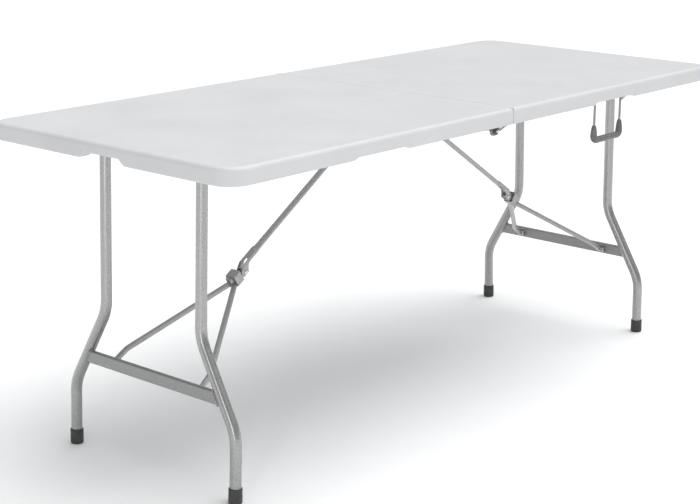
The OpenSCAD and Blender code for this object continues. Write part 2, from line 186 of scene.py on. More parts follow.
def mat_hammer(name, dark, light, metallic=0.85, rough=(0.26, 0.36), tint=(1.0, 1.0, 1.0)):
    m, nt, bsdf, at = new_material(name)
    cells = voronoi_node(nt, at, 480, "SMOOTH_F1")
    cloud = noise_node(nt, at, 520, 3, 0.6)
    mix = nt.nodes.new("ShaderNodeMath")
    mix.operation = "MULTIPLY_ADD"
    mix.inputs[1].default_value = 0.45
    nt.links.new(cells, mix.inputs[0])
    nt.links.new(cloud, mix.inputs[2])
    nt.links.new(
        ramp(nt, mix.outputs[0], [(0.42, grey(dark, tint)), (0.62, grey((dark + light) / 2, tint)),
        (0.9, grey(light, tint))]),
        bsdf.inputs["Base Color"],
    )
    bsdf.inputs["Metallic"].default_value = metallic
    nt.links.new(remap(nt, noise_node(nt, at, 260, 2), *rough), bsdf.inputs["Roughness"])
    bsdf.inputs["Coat Weight"].default_value = 0.25
    bsdf.inputs["Coat Roughness"].default_value = 0.18
    add_bump(nt, bsdf, (cells, 0.00022, 0.30), (noise_node(nt, at, 700, 2), 0.00015, 0.30))
    return m


def mat_zinc(name, base=0.66, rough=(0.16, 0.30)):
    m, nt, bsdf, at = new_material(name)
    spangle = voronoi_node(nt, at, 300, "F1", "Color")
    bw = nt.nodes.new("ShaderNodeRGBToBW")
    nt.links.new(spangle, bw.inputs["Color"])
    nt.links.new(ramp(nt, bw.outputs["Val"], [(0.2, grey(base - 0.07)), (0.8, grey(base + 0.07))]),
        bsdf.inputs["Base Color"])
    bsdf.inputs["Metallic"].default_value = 0.95
    nt.links.new(remap(nt, noise_node(nt, at, 500, 3), *rough), bsdf.inputs["Roughness"])
    add_bump(nt, bsdf, (noise_node(nt, at, 700, 3, 0.6), 0.0002, 0.3))
    return m


def mat_plastic(name, dark, light, rough, grain=800):
    m, nt, bsdf, at = new_material(name)
    nt.links.new(ramp(nt, noise_node(nt, at, 90, 4, 0.6), [(0.32, grey(dark)), (0.7, grey(light))]),
        bsdf.inputs["Base Color"])
    nt.links.new(remap(nt, noise_node(nt, at, 150, 2), rough - 0.06, rough + 0.08),
        bsdf.inputs["Roughness"])
    bsdf.inputs["Specular IOR Level"].default_value = 0.5
    add_bump(nt, bsdf, (voronoi_node(nt, at, grain, "SMOOTH_F1"), 0.0003, 0.4))
    return m


TOP = mat_top()
LEG = mat_hammer("hammertone_legs", 0.26, 0.44)
BAR = mat_hammer("hammertone_bars", 0.20, 0.36, 0.5, (0.34, 0.46))
ARM = mat_hammer("hammertone_brace", 0.30, 0.48, 0.5, (0.30, 0.44))
RAIL = mat_hammer("hammertone_rails", 0.22, 0.38, 0.45, (0.36, 0.50))
WIRE = mat_hammer("coated_wire", 0.20, 0.32, 0.5, (0.32, 0.44))
ZINC = mat_zinc("bright_zinc")
DULL = mat_zinc("dull_zinc", 0.42, (0.28, 0.42))
WELD = mat_hammer("weld_bead", 0.18, 0.45, 0.55, (0.30, 0.50))
GRIP_MAT = mat_plastic("grip_plastic", 0.12, 0.17, 0.40)
CLIP_MAT = mat_plastic("clip_plastic", 0.06, 0.09, 0.45)
FOOT_MAT = mat_plastic("foot_plastic", 0.030, 0.052, 0.50, 600)


# ---- mesh helpers: a part is (vertices, faces), in millimetres
def merged(*parts):
    verts, faces = [], []
    for v, f in parts:
        n = len(verts)
        verts += v
        faces += [tuple(i + n for i in face) for face in f]
    return verts, faces


def moved(part, matrix):
    flip = matrix.determinant() < 0
    faces = [tuple(reversed(f)) for f in part[1]] if flip else part[1]
    return [matrix @ Vector(v) for v in part[0]], faces


def mirror_y(part):
    return moved(part, Matrix.Scale(-1, 4, (0, 1, 0)))


def both_y(part):
    return merged(part, mirror_y(part))


def build(name, part, material, body, nodes=(), side=1, angle=38):
    if side < 0:
        part = moved(part, Matrix.Scale(-1, 4, (1, 0, 0)))
    mesh = bpy.data.meshes.new(name)
    mesh.from_pydata([Vector(v) * MM for v in part[0]], [], part[1])
    mesh.validate()
    mesh.shade_smooth()
    mesh.set_sharp_from_angle(angle=math.radians(angle))
    mesh.materials.append(material)
    ob = bpy.data.objects.new(name, mesh)
    scene.collection.objects.link(ob)
    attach(ob, body)
    if nodes:
        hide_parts(*nodes)
    return ob


def rings(loops, cap0=True, cap1=True):
    """Skin over loops of equal length; each loop is a list of points."""
    n = len(loops[0])
    verts = [Vector(p) for loop in loops for p in loop]
    faces = []
    for a in range(len(loops) - 1):
        for i in range(n):
            j = (i + 1) % n
            faces.append((a * n + i, a * n + j, (a + 1) * n + j, (a + 1) * n + i))
    if cap0:
        faces.append(tuple(reversed(range(n))))
    if cap1:
        faces.append(tuple(range((len(loops) - 1) * n, len(loops) * n)))
    return verts, faces


def circle(r, n=40, r2=None, power=2.0):
    out = []
    for i in range(n):
        t = 2 * math.pi * i / n
        c, s = math.cos(t), math.sin(t)
        e = 2 / power
        out.append((r * math.copysign(abs(c) ** e, c), (r2 or r) * math.copysign(abs(s) ** e, s)))
    return out


def rounded_rect(w, h, r, n=5):
    out = []
    for cx, cy, t0 in ((w / 2 - r, h / 2 - r, 0), (-w / 2 + r, h / 2 - r, 90),
        (-w / 2 + r, -h / 2 + r, 180), (w / 2 - r, -h / 2 + r, 270)):
        for i in range(n + 1):
            t = math.radians(t0 + 90 * i / n)
            out.append((cx + r * math.cos(t), cy + r * math.sin(t)))
    return out


def sweep(path, section, side_axis=None, scales=None, end_round=0.0, caps=True):
    """Carries a closed section along a path. The section's u runs along side_axis."""
    path = [Vector(p) for p in path]
    u = Vector(side_axis) if side_axis else Vector((0, 1, 0))
    loops = []
    count = len(path)
    for i, p in enumerate(path):
        t = (path[min(i + 1, count - 1)] - path[max(i - 1, 0)]).normalized()
        u = (u - t * u.dot(t)).normalized()
        v = t.cross(u)
        k = scales[i] if scales else 1.0
        ku, kv = k if isinstance(k, tuple) else (k, k)
        if end_round and i == 0:
            for f in (1.0, 0.7, 0.3):
                d = end_round * f
                s = 1 - end_round * (1 - math.sqrt(max(0.0, 1 - f * f))) / max(abs(q)
                    for pt in section for q in pt)
                loops.append([p + t * (end_round - d) * 1.0 + u * a * ku * s + v * b * kv * s for a,
                    b in section])
            continue
        if end_round and i == count - 1:
            for f in (0.3, 0.7, 1.0):
                d = end_round * f
                s = 1 - end_round * (1 - math.sqrt(max(0.0, 1 - f * f))) / max(abs(q)
                    for pt in section for q in pt)
                loops.append([p - t * (end_round - d) + u * a * ku * s + v * b * kv * s for a,
                    b in section])
            continue
        loops.append([p + u * a * ku + v * b * kv for a, b in section])
    return rings(loops, caps, caps)


def lathe(profile, origin, axis, n=40, side=None, cap0=True, cap1=True):
    """Turns a profile of (radius, height) about an axis."""
    axis = Vector(axis).normalized()
    u = Vector(side) if side else axis.orthogonal().normalized()
    v = axis.cross(u)
    loops = []
    for r, h in profile:
        r = max(r, 0.02)
        loops.append([
            Vector(origin) + axis * h + u * r * math.cos(2 * math.pi * i / n)
            + v * r * math.sin(2 * math.pi * i / n)
            for i in range(n)])
    return rings(loops, cap0, cap1)


def inset(outline, d):
    """Moves a closed outline inwards by d (counter-clockwise outline)."""
    n = len(outline)
    out = []
    for i in range(n):
        a, b, c = (Vector(outline[k % n]) for k in (i - 1, i, i + 1))
        e1, e2 = (b - a).normalized(), (c - b).normalized()
        n1, n2 = Vector((-e1.y, e1.x)), Vector((-e2.y, e2.x))
        m = n1 + n2
        m = m / max(m.length_squared, 1e-6) * 2
        out.append(b + m * d)
    return out


def plate(outline, thickness, bevel, origin, u, v):
    """A sheet part: an outline in the u, v plane, thickness along u x v, with soft edges."""
    u, v, o = Vector(u), Vector(v), Vector(origin)
    w = u.cross(v)
    h = thickness / 2
    soft = bevel * 0.3
    steps = [(-h, bevel), (-h + soft, soft), (-h + bevel, 0), (h - bevel, 0), (h - soft, soft),
        (h, bevel)]
    loops = []
    for z, d in steps:
        pts = inset(outline, d) if d else [Vector(p) for p in outline]
        loops.append([o + u * p[0] + v * p[1] + w * z for p in pts])
    return rings(loops)


def slot_outline(length, r, n=10):
    """A bar outline from 0 to length with both ends round."""
    out = []
    for i in range(n + 1):
        t = math.radians(-90 + 180 * i / n)
        out.append((length + r * math.cos(t), r * math.sin(t)))
    for i in range(n + 1):
        t = math.radians(90 + 180 * i / n)
        out.append((r * math.cos(t), r * math.sin(t)))
    return out


def rounded_path(points, radii, n=8):
    """A polyline whose inner corners are rounded."""
    pts = [Vector(p) for p in points]
    out = [pts[0]]
    for i in range(1, len(pts) - 1):
        a, b, c = pts[i - 1], pts[i], pts[i + 1]
        r = radii[i - 1]
        d1, d2 = (a - b).normalized(), (c - b).normalized()
        half = d1.angle(d2) / 2
        cut = r / math.tan(half)
        s, e = b + d1 * cut, b + d2 * cut
        bis = (d1 + d2).normalized()
        centre = b + bis * (r / math.sin(half))
        v0, v1 = s - centre, e - centre
        total = v0.angle(v1)
        for k in range(n + 1):
            q = k / n
            out.append(centre + (v0 * math.sin((1 - q) * total) + v1 * math.sin(q * total)) / math.sin(total))
    out.append(pts[-1])
    return out


def densify(path, step):
    out = [path[0]]
    for a, b in zip(path, path[1:]):
        n = max(1, int((b - a).length / step))
        out += [a.lerp(b, (k + 1) / n) for k in range(n)]
    return out


def dome(origin, axis, r, h, n=32, hollow=0.0):
    """A riveted or pan head standing on a surface."""
    prof = [(r * 0.96, 0), (r, h * 0.12), (r * 0.97, h * 0.38), (r * 0.86, h * 0.66),
        (r * 0.66, h * 0.88), (r * 0.4, h * 0.98)]
    if hollow:
        prof += [(r * 0.32, h * 0.97), (r * 0.27, h - hollow)]
    else:
        prof += [(r * 0.15, h)]
    return lathe(prof, origin, axis, n)


def hex_part(origin, axis, across, h, bore=0.0, turn=0.0):
    """A chamfered hexagon nut."""
    axis = Vector(axis).normalized()
    u = Vector((0, 0, 1)) if abs(axis.z) < 0.9 else Vector((1, 0, 0))
    u = (u - axis * u.dot(axis)).normalized()
    v = axis.cross(u)
    n = 48
    loops = []

    def loop(h0, chamfer, r_limit):
        pts = []
        for i in range(n):
            t = 2 * math.pi * i / n + turn
            k = (t - turn) % (math.pi / 3) - math.pi / 6
            r = min(across / 2 / math.cos(k), r_limit) - chamfer
            pts.append(Vector(origin) + axis * h0 + u * r * math.cos(t) + v * r * math.sin(t))
        return pts

    def ring(h0, r):
        return [
            Vector(origin) + axis * h0 + u * r * math.cos(2 * math.pi * i / n + turn)
            + v * r * math.sin(2 * math.pi * i / n + turn)
            for i in range(n)]

    full = across / 2 / math.cos(math.pi / 6)
    loops.append(ring(0, across / 2 * 0.9))
    loops.append(loop(0.01, 0, across / 2 * 0.97))
    loops.append(loop(h * 0.12, 0, full))
    loops.append(loop(h * 0.86, 0, full))
    loops.append(loop(h * 0.99, 0, across / 2 * 0.96))
    loops.append(ring(h, across / 2 * 0.9))
    if bore:
        loops.append(ring(h, bore + 0.6))
        loops.append(ring(h - 0.8, bore))
        loops.append(ring(h - 1.6, bore * 0.98))
    return rings(loops)


def edge_softened(w, l, t, r, origin, u, v, bevel=0.6):
    return plate(rounded_rect(w, l, r), t, bevel, origin, u, v)


# ---- half tops
def notch_depth(s, middle, mouth, depth, run):
    """Rise of the rim's lower edge at s, with soft shoulders."""
    t = (mouth / 2 - abs(s - middle)) / run
    t = min(1.0, max(0.0, t))
    return depth * (t * t * (3 - 2 * t) * 0.55 + t * 0.45)


# notches in the rim's lower edge: middle, mouth, depth, length of each shoulder
HANDLE_NOTCH = (432, 184, 5, 12)
PLAIN_NOTCH = (456, 178, 5, 12)
END_NOTCH = (0, 140, 14.6, 21)


def rim_rise(x, y, nx, ny, side):
    """How far the lower edge is raised at an outline point (x is measured from the seam)."""
    if ny < -0.9:
        if side > 0:
            return notch_depth(x, *HANDLE_NOTCH)
        return notch_depth(x, *PLAIN_NOTCH)
    if nx > 0.9:
        return notch_depth(y, *END_NOTCH)
    return 0.0


SEAM_R = 1.5


def half_outline():
    """Points round a half top, counter-clockwise: (x, y, nx, ny, top radius, rim width)."""
    x0, x1, w = TOP_LO.x, HALF_L, HALF_W
    pts = []

    def straight(ax, ay, bx, by, nx, ny, tr, rw, step):
        n = max(1, int(math.hypot(bx - ax, by - ay) / step))
        for i in range(n):
            f = i / n
            pts.append((ax + (bx - ax) * f, ay + (by - ay) * f, nx, ny, tr, rw))

    def corner(cx, cy, r, t0, tr0, tr1, rw0, rw1, n):
        for i in range(n):
            f = i / n
            t = math.radians(t0 + 90 * f)
            pts.append((cx + r * math.cos(t), cy + r * math.sin(t), math.cos(t), math.sin(t),
                tr0 + (tr1 - tr0) * f, rw0 + (rw1 - rw0) * f))

    big, small = 50, SEAM_R
    soft, fine = 9.5, 1.0
    straight(x0 + small, -w, x1 - big, -w, 0, -1, soft, 28, 4)
    corner(x1 - big, -w + big, big, -90, soft, soft, 28, 30, 22)
    straight(x1, -w + big, x1, w - big, 1, 0, soft, 30, 4)
    corner(x1 - big, w - big, big, 0, soft, soft, 30, 28, 22)
    straight(x1 - big, w, x0 + small, w, 0, 1, soft, 28, 4)
    corner(x0 + small, w - small, small, 90, soft, fine, 28, 22, 6)
    straight(x0, w - small, x0, -w + small, -1, 0, fine, 22, 4)
    corner(x0 + small, -w + small, small, 180, fine, soft, 22, 28, 6)
    return pts


DECK_T = 15
POCKET_HALF = 90
POCKET_RISE = 8
DIMPLE_PITCH = 38.0
DIMPLE_R = 14
DIMPLE_DEPTH = 7.5


def top_shell(side):
    outline = half_outline()
    n = len(outline)
    low, deck = RIM_Z, TOP_Z - DECK_T
    verts, faces = [], []

    # steps of the skin from the top's edge to the rim's inner foot: (inward distance, height)
    def column(p):
        x, y, nx, ny, tr, rw = p
        rise = rim_rise(x, y, nx, ny, side)
        b = low + rise
        # behind the front lip of the right half's notch, the handle's clips sit in a pocket
        under = b if side < 0 or ny > -0.9 or abs(x - HX) > POCKET_HALF else low + POCKET_RISE
        out = [(tr + 9, TOP_Z), (tr + 1.6, TOP_Z - 0.04)]
        for k in range(9):
            t = math.radians(90 * k / 8)
            out.append((tr * (1 - math.sin(t)), TOP_Z - tr * (1 - math.cos(t))))
        out += [(0.0, TOP_Z - tr - 6), (0.15, TOP_Z - 24), (0.35, b + 5.0)]
        for k in range(5):
            t = math.radians(90 * k / 4)
            out.append((0.4 + 3.2 * (1 - math.cos(t)), b + 3.2 * (1 - math.sin(t))))
        inner = rw - 0.3
        out += [(5.4, b), (5.8, under), (inner - 2.6, under), (inner - 0.9, under + 0.7),
            (inner - 0.2, under + 2.4), (inner, deck - 5)]
        for k in range(4):
            t = math.radians(90 * k / 3)
            out.append((inner + 3.5 * (1 - math.cos(t)), deck - 3.5 * (1 - math.sin(t))))
        return out

    cols = [column(p) for p in outline]
    steps = len(cols[0])
    x0, w = TOP_LO.x, HALF_W
    for (x, y, nx, ny, tr, rw), col in zip(outline, cols):
        for d, z in col:
            # corners of the seam side are tight, so distances inwards are measured square to each wall
            if nx < -0.01 and abs(ny) > 0.01:
                px = x0 + max(0.0, x - x0) * max(0.0, 1 - d / SEAM_R) + (d
                    if d > SEAM_R else d * (1 - abs(ny)))
                yy = abs(y)
                py = math.copysign(w - max(0.0, w - yy) * max(0.0, 1 - d / SEAM_R) - (d
                    if d > SEAM_R else d * abs(ny)), y)
                verts.append(Vector((px, py, z)))
            elif nx > 0.01 and abs(ny) > 0.01 and d > 40:
                verts.append(Vector((x - nx * d, y - ny * d, z)))
            else:
                px, py = x - nx * d, y - ny * d
                if abs(ny) > 0.99:
                    px = max(px, x0 + d) if x < x0 + 60 else px
                if nx < -0.99:
                    py = math.copysign(min(abs(py), w - d), py)
                verts.append(Vector((px, py, z)))
    for i in range(n):
        j = (i + 1) % n
        for k in range(steps - 1):
            faces.append((i * steps + k, i * steps + k + 1, j * steps + k + 1, j * steps + k))
    faces.append(tuple(i * steps for i in range(n)))
    return verts, faces


def underside():
    """The deck seen from below, with its rows of moulded dimples."""
    deck = TOP_Z - DECK_T
    x0, x1 = 21.5, HALF_L - 29.5
    y1 = HALF_W - 27.5
    step = 4.25
    nx = int((x1 - x0) / step)
    ny = int(2 * y1 / step)
    pitch = DIMPLE_PITCH
    verts, faces = [], []
    for i in range(nx + 1):
        x = x0 + (x1 - x0) * i / nx
        for j in range(ny + 1):
            y = -y1 + 2 * y1 * j / ny
            row = round((x - 60) / (pitch * 0.866))
            shift = pitch / 2 if row % 2 else 0.0
            cx = 60 + row * pitch * 0.866
            cy = round((y - shift) / pitch) * pitch + shift
            inside = 45 < cx < HALF_L - 55 and abs(cy) < 285
            d = math.hypot(x - cx, y - cy)
            z = deck
            if inside and d < DIMPLE_R:
                t = d / DIMPLE_R
                z += DIMPLE_DEPTH * (1 - t * t) ** 1.5
            verts.append(Vector((x, y, z)))
    for i in range(nx):
        for j in range(ny):
            a = i * (ny + 1) + j
            faces.append((a, a + 1, a + ny + 2, a + ny + 1))
    return verts, faces


for side, tag in ((-1, "left"), (1, "right")):
    build("moulded_top_" + tag, merged(top_shell(side), underside()), TOP, tag + "_top",
        ["top_panel_" + tag], side, 50)


# ---- leg frames
def leaning(p):
    """From the upright leg frame to its leaning place."""
    c, s = math.cos(LEAN), math.sin(LEAN)
    dx, dz = p[0] - P.x, p[2] - P.z
    return Vector((P.x + dx * c - dz * s, p[1], P.z + dx * s + dz * c))


def leg_path():
    out = BEND_R * (1 - math.cos(SPLAY))
    drop = BEND_R * math.sin(SPLAY)
    slant = (LEG_FOOT_Y - LEG_TOP_Y - 2 * out) / math.sin(SPLAY)
    pts = [Vector((P.x, LEG_TOP_Y, P.z - 5)), Vector((P.x, LEG_TOP_Y, BEND_Z + 160)),
        Vector((P.x, LEG_TOP_Y, BEND_Z + 20))]
    for i in range(13):
        t = SPLAY * i / 12
        pts.append(Vector((P.x, LEG_TOP_Y + BEND_R * (1 - math.cos(t)), BEND_Z - BEND_R * math.sin(t))))
    a = pts[-1]
    b = a + Vector((0, math.sin(SPLAY), -math.cos(SPLAY))) * slant
    pts.append(a.lerp(b, 0.5))
    pts.append(b)
    for i in range(1, 13):
        t = SPLAY * (1 - i / 12)
        pts.append(Vector((P.x, LEG_FOOT_Y - BEND_R * (1 - math.cos(t)),
            b.z - drop + BEND_R * math.sin(t))))
    pts.append(Vector((P.x, LEG_FOOT_Y, 60)))
    pts.append(Vector((P.x, LEG_FOOT_Y, 7)))
    return pts, a, b


LEG_POINTS, SLANT_A, SLANT_B = leg_path()


def slant_y(z):
    f = (SLANT_A.z - z) / (SLANT_A.z - SLANT_B.z)
    return SLANT_A.y + (SLANT_B.y - SLANT_A.y) * f


def lean_part(part):
    return [leaning(v) for v in part[0]], part[1]


CROSS_Z = 217
CROSS_H, CROSS_T, BAR_OUT = 28, 12, 5


def crossbar_part():
    section = rounded_rect(CROSS_T - 0.1, CROSS_H - 0.1, 3.0, 5)
    loops = []
    for f in [-1, -0.6, -0.2, 0.2, 0.6, 1]:
        loop = []
        for a, b in section:
            z = CROSS_Z + b
            loop.append(leaning(Vector((P.x + BAR_OUT + a, f * (slant_y(z) - 3), z))))
        loops.append(loop)
    return rings(loops)


def weld_part():
    """A lumpy bead along the mitred end of the crossbar, on its three open sides."""
    parts = []
    for sx in (-1, 1):
        path = []
        for i in range(15):
            z = CROSS_Z - CROSS_H / 2 + 0.5 + (CROSS_H - 1) * i / 14
            x = P.x + BAR_OUT + sx * (CROSS_T / 2 - 0.4)
            path.append(leaning(Vector((x, slant_y(z) - 12.6, z))))
        scales = [0.6 + 0.75 * abs(math.sin(i * 1.9 + sx)) for i in range(15)]
        parts.append(sweep(path, circle(2.5, 12), (1, 0, 0), scales))
    for dz in (-1, 1):
        path = []
        for i in range(9):
            z = CROSS_Z + dz * (CROSS_H / 2 - 0.3)
            x = P.x + BAR_OUT + (CROSS_T - 2) * (i / 8 - 0.5)
            path.append(leaning(Vector((x, slant_y(z) - 13.0, z))))
        scales = [0.6 + 0.7 * abs(math.sin(i * 2.3 + dz)) for i in range(9)]
        parts.append(sweep(path, circle(2.4, 12), (0, 0, 1), scales))
    return both_y(merged(*parts))


def foot_part():
    """A moulded cup with a rolled lip, flat where it meets the floor."""
    r = 14.9
    prof = [(r - 3.2, 0.0), (r - 1.1, 0.25), (r - 0.25, 1.3), (r, 3.0), (r, 12), (r - 0.15, 22),
        (r - 0.1, 30.2), (r - 0.3, 31.6), (r - 0.9, 32.6), (TUBE_R + 0.9, 33.0),
        (TUBE_R + 0.1, 32.7), (TUBE_R - 0.3, 31.5)]
    n = 48
    loops = []
    for rad, h in prof:
        loop = []
        for i in range(n):
            t = 2 * math.pi * i / n
            rib = 0.0
            if 4 < h < 31:
                rib = -0.35 * max(0.0, math.cos(12 * t)) ** 6
            p = Vector((P.x + (rad + rib) * math.cos(t), LEG_FOOT_Y + (rad + rib) * math.sin(t),
                h + 0.6))
            q = leaning(p)
            if h < 2:
                q.z = max(q.z, 0.0) if h > 0.3 else 0.0
            loop.append(q)
        loops.append(loop)
    return rings(loops)


leg_sweep = lean_part(sweep(LEG_POINTS, circle(TUBE_R - 0.02, 48), (1, 0, 0)))
for side, tag in ((-1, "left"), (1, "right")):
    body = tag + "_leg"
    build("leg_tube_front_" + tag, mirror_y(leg_sweep), LEG, body,
        ["leg_front_" + tag], side)
    build("leg_tube_back_" + tag, leg_sweep, LEG, body, ["leg_back_" + tag], side)
    build("cross_tube_" + tag, crossbar_part(), BAR, body, ["crossbar_" + tag], side)
    build("weld_beads_" + tag, weld_part(), WELD, body, (), side, 60)
    build("foot_cap_front_" + tag, mirror_y(foot_part()), FOOT_MAT, body,
        ["foot_front_" + tag], side)
    build("foot_cap_back_" + tag, foot_part(), FOOT_MAT, body, ["foot_back_" + tag],
        side)

    # the top tube with its plugs
    half = lohi("pivot_tube_" + tag)[1].y
    tube_prof = [(TUBE_R - 0.8, -half), (TUBE_R - 0.2, -half + 0.3), (TUBE_R - 0.03, -half + 1),
        (TUBE_R - 0.03, half - 1), (TUBE_R - 0.2, half - 0.3), (TUBE_R - 0.8, half)]
    tube = lathe(tube_prof, (P.x, 0, P.z), (0, 1, 0), 48)
    collars = []
    for y in (LEG_TOP_Y,):
        path = [Vector((P.x + 12.9 * math.cos(t), y + 12.9 * math.sin(t),
            P.z - 12.2 + 3.6 * math.cos(t) ** 2)) for t in [2 * math.pi * i / 28 for i in range(29)]]
        collars.append(sweep(path, circle(1.7, 10), (0, 0, 1),
            [0.7 + 0.5 * abs(math.sin(i * 2.1)) for i in range(29)]))
    build("top_tube_" + tag, merged(tube, both_y(merged(*collars))), LEG, body,
        ["pivot_tube_" + tag], side)
    plug_prof = [(TUBE_R - 1.6, -12), (TUBE_R - 1.6, -0.1), (TUBE_R - 0.1, 0.0),
        (TUBE_R - 0.05, 1.8), (TUBE_R - 0.8, 2.7), (TUBE_R - 3, 2.95), (5, 2.95), (4.4, 2.4), (1, 2.3)]
    plugs = both_y(lathe(plug_prof, (P.x, half, P.z), (0, 1, 0), 40))
    build("tube_plugs_" + tag, plugs, CLIP_MAT, body, ["pivot_plugs_" + tag], side)


# ---- folding braces
def brace_point(t, y, n):
    """t down the brace from its upper pivot, n square to it, upwards."""
    c, s = math.cos(BRACE_ANGLE), math.sin(BRACE_ANGLE)
    return Vector((Q.x + t * c + n * s, y, Q.z - t * s + n * c))


BT = Vector((math.cos(BRACE_ANGLE), 0, -math.sin(BRACE_ANGLE)))
BN = Vector((math.sin(BRACE_ANGLE), 0, math.cos(BRACE_ANGLE)))
BY = Vector((0, 1, 0))
LOW_N, HIGH_N = 9.5, 19.5


def strut_part():
    parts = []
    # flattened oval tube, its lower end swelling into the channel
    middle = (LOW_N + HIGH_N) / 2
    start, end = 6.0, KNEE_T - 46
    path, scales = [], []
    for i in range(25):
        f = i / 24
        t = start + (end - start) * f
        path.append(brace_point(t, 0, middle))
        swell = max(0.0, (f - 0.88) / 0.12)
        pinch = max(0.0, (0.05 - f) / 0.05)
        scales.append((1 + 0.12 * swell + 0.05 * pinch, 1 - 0.12 * pinch))
    parts.append(sweep(path, circle(7.6, 36, 4.9, 3.2), (0, 1, 0), scales, 0.8))
    # saddle over the cross tube
    loops = []
    for y in (-12.9, -12.2, -11.6, 11.6, 12.2, 12.9):
        r = 10.2 if abs(y) > 12.5 else (10.7 if abs(y) > 12 else 10.95)
        loops.append([Vector((Q.x, y, Q.z)) + (BT * math.cos(a) + BN * math.sin(a)) * r
            for a in [2 * math.pi * i / 40 for i in range(40)]])
    parts.append(rings(loops))
    for t in (2.0,):
        parts.append(sweep([brace_point(t - 3, 0, 11), brace_point(t + 5, 0, middle - 0.5),
            brace_point(t + 22, 0, middle)], circle(7.4, 28, 4.6, 3.0), (0, 1, 0), None, 0.8))
    # channel cheeks, rounded round the rivet
    for s in (-1, 1):
        outline = []
        r = 12.6
        for i in range(15):
            a = math.radians(-62 + 124 * i / 14)
            outline.append((KNEE_T + r * math.cos(a), min(HIGH_N, max(-6.0, r * math.sin(a)))))
        outline += [(KNEE_T - 8, HIGH_N), (KNEE_T - 60, HIGH_N), (KNEE_T - 61.5, HIGH_N - 2),
            (KNEE_T - 61.5, LOW_N + 3.5), (KNEE_T - 60, LOW_N + 1.6), (KNEE_T - 22, LOW_N + 1.6),
            (KNEE_T - 15.5, 6.5), (KNEE_T - 11.5, 0), (KNEE_T - 9.5, -4.0), (KNEE_T - 6.5, -6.0)]
        pts = [(brace_point(t, 0, n)) for t, n in outline]
        flat = [(p - Q).dot(BT) for p in pts]
        high = [(p - Q).dot(BN) for p in pts]
        out = list(zip(flat, high))
        parts.append(plate(out, 1.9, 0.45, Vector((Q.x, s * 8.0, Q.z)), BT, BN)
            if s < 0 else mirror_y(plate(out, 1.9, 0.45, Vector((Q.x, -8.0, Q.z)), BT, BN)))
    # web across the channel's upper face, cut back before the rivet, with rounded shoulders
    web = [(KNEE_T - 61, -8.6), (KNEE_T - 24, -8.6), (KNEE_T - 21, -6.5), (KNEE_T - 24.5, -3.5),
        (KNEE_T - 25.5, 0), (KNEE_T - 24.5, 3.5), (KNEE_T - 21, 6.5), (KNEE_T - 24, 8.6),
        (KNEE_T - 61, 8.6)]
    parts.append(plate(web, 1.9, 0.5, brace_point(0, 0, HIGH_N - 1.0), BT, BY))
    return merged(*parts)


def knee_rivet_part():
    parts = []
    for s in (-1, 1):
        parts.append(dome(brace_point(KNEE_T, s * 9.0, 0), (0, s, 0), 5.5, 1.95, 36, 0.45))
    shank = lathe([(2.9, -9.5), (2.9, 9.5)], brace_point(KNEE_T, 0, 0), (0, 1, 0), 24)
    return merged(shank, *parts)


def ring_part():
    t0, t1 = KNEE_T + 15.5, KNEE_T + 37.5
    low, high = -6.4, HIGH_N + 0.8
    cy, cn = 12.2 * 2, high - low
    middle = (high + low) / 2
    outer = rounded_rect(cy + 3.5, cn + 3.5, 4.0, 6)
    inner = rounded_rect(cy, cn, 2.4, 6)
    loops = []

    def loop(t, shape, grow=0.0):
        out = []
        for a, b in shape:
            k = 1 + grow
            out.append(brace_point(t, a * k, middle + b * k))
        return out

    loops.append(loop(t0 + 0.5, inner))
    loops.append(loop(t0 + 0.1, inner, 0.03))
    loops.append(loop(t0, inner, 0.07))
    loops.append(loop(t0 + 0.05, outer, -0.025))
    loops.append(loop(t0 + 0.5, outer))
    loops.append(loop(t1 - 0.5, outer))
    loops.append(loop(t1 - 0.05, outer, -0.025))
    loops.append(loop(t1, inner, 0.07))
    loops.append(loop(t1 - 0.1, inner, 0.03))
    loops.append(loop(t1 - 0.5, inner))
    loops.append(loop(t0 + 0.5, inner))
    return rings(loops, False, False)


def fork_part():
    parts = []
    # two pressed cheeks, their nose round about the rivet
    for s in (1,):
        outline = [(KNEE_T + 46, -5.8), (KNEE_T + 46, 17.6), (KNEE_T + 44.5, 19.0),
            (KNEE_T + 16.5, 19.0), (KNEE_T + 14.2, 16.5), (KNEE_T + 9, 5.8)]
        for i in range(1, 12):
            a = math.radians(70 + 200 * i / 12)
            outline.append((KNEE_T + 5.9 * math.cos(a), 5.9 * math.sin(a)))
        outline = outline[::-1]
        outline = [(t, n) for t, n in outline]
        cheek = plate(list(reversed(outline)), 1.8, 0.45, Vector((Q.x, 5.7, Q.z)), BT, BN)
        parts.append(mirror_y(cheek))
        parts.append(cheek)
    # the floor of the pressing and its raised back
    parts.append(edge_softened(42, 13.2, 1.8, 1.2, brace_point(KNEE_T + 25, 0, -4.9), BT, BY))
    parts.append(edge_softened(28, 17.4, 1.8, 1.4, brace_point(KNEE_T + 31, 0, 18.0), BT, BY))
    # the ends of the two arms lie side by side in it
    for s in (-1, 1):
        a, b = brace_point(KNEE_T + 20, s * 3.6, 1.5), brace_point(KNEE_T + 48, s * 6.6, 0.4)
        parts.append(sweep([a, a.lerp(b, 0.5), b], circle(2.9, 20, 5.6, 3.0), (0, 1, 0), None, 0.8))
    return merged(*parts)


